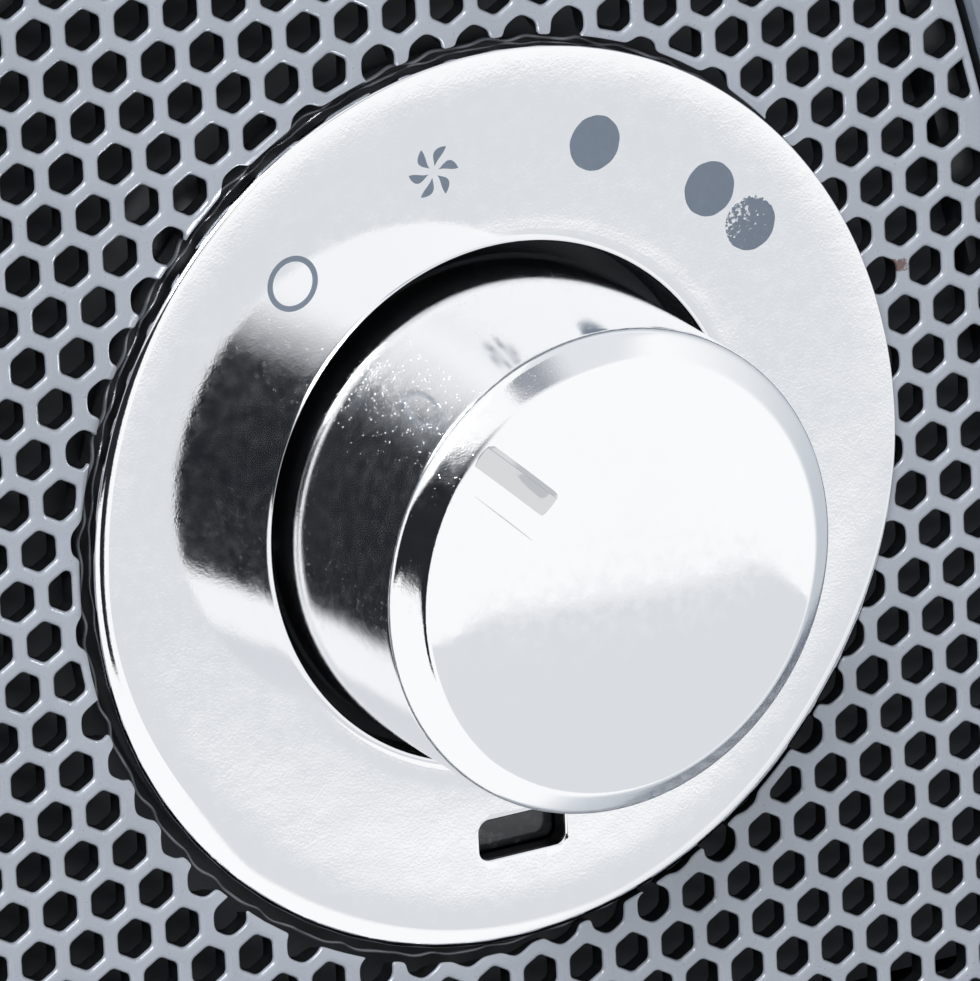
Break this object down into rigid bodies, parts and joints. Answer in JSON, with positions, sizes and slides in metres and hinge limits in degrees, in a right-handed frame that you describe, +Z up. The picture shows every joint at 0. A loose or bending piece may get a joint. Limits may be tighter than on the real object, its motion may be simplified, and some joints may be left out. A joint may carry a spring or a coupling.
{
  "type": "ceramic fan heater",
  "caption": "Free-standing ceramic fan heater with a hexagon-perforated front, a round chrome control bezel and a turning chrome knob, fan and heating element inside.",
  "frame": {"origin": "centre of the underside of the whole heater, on the surface it stands on", "axes": "+Z up, -Y is the front with the grille and knob, +X to the right seen from the front"},
  "size_m": [0.1324, 0.15, 0.258],
  "materials": {
    "frame_grey": "satin blue-grey paint on moulded plastic",
    "shell_grey": "fine textured moulding",
    "grille_silver": "silver-grey paint, soft rounded hole edges",
    "chrome": "bright vacuum-plated",
    "black_plastic": "matt black moulding",
    "smoked_lens": "smoked, glossy",
    "lamp_glass": "clear",
    "heat_plastic": "glass-filled, matt",
    "ceramic": "fired ceramic in foil",
    "fin_aluminium": "bare strip",
    "brass": "bare",
    "steel": "zinc plated",
    "bronze": "sintered",
    "fan_plastic": "moulded",
    "motor_steel": "drawn can",
    "rubber": "matt",
    "filter_mesh": "open mesh",
    "lead_pvc": "smooth"
  },
  "bodies": {
    "housing": {"front_frame": "frame_grey", "rear_shell": "shell_grey", "rear_cover": "shell_grey", "front_grille": "grille_silver", "control_bezel": "chrome", "control_panel": "black_plastic", "indicator_lens": "smoked_lens", "indicator_lamp": "lamp_glass", "rotary_switch": "black_plastic", "switch_terminals": "brass", "switch_screws": "steel", "bezel_screws": "steel", "housing_screws": "steel", "air_duct": "black_plastic", "element_frame": "heat_plastic", "ptc_bars": "ceramic", "heat_fins": "fin_aluminium", "element_terminals": "brass", "thermal_cutout": "steel", "thermal_fuse": "heat_plastic", "fan_shroud": "black_plastic", "fan_motor": "motor_steel", "motor_bushes": "bronze", "motor_bracket": "steel", "motor_screws": "steel", "intake_cover": "shell_grey", "dust_filter": "filter_mesh", "tilt_switch": "black_plastic", "plunger_spring": "steel", "terminal_block": "heat_plastic", "terminal_screws": "brass", "cord_gland": "black_plastic", "rubber_feet": "rubber", "internal_leads": "lead_pvc"},
    "knob": {"control_knob": "chrome", "switch_shaft": "brass"},
    "fan": {"fan_impeller": "fan_plastic", "motor_shaft": "steel"},
    "tilt_plunger": {"tilt_plunger": "heat_plastic"}
  },
  "joints": [
    {"name": "knob_turn", "type": "hinge", "parent": "housing", "child": "knob", "pos_m": [0.0015, -0.056, 0.1713], "axis": [0, 1, 0], "range_deg": [0, 88]},
    {"name": "fan_spin", "type": "hinge", "parent": "housing", "child": "fan", "pos_m": [0, 0.05, 0.082], "axis": [0, 1, 0], "continuous": true},
    {"name": "tilt_travel", "type": "slide", "parent": "housing", "child": "tilt_plunger", "axis": [0, 0, 1], "range_m": [-0.0033, 0], "stiffness_N_per_m": 60, "springref_m": -0.0085, "deforming": ["plunger_spring"]}
  ]
}
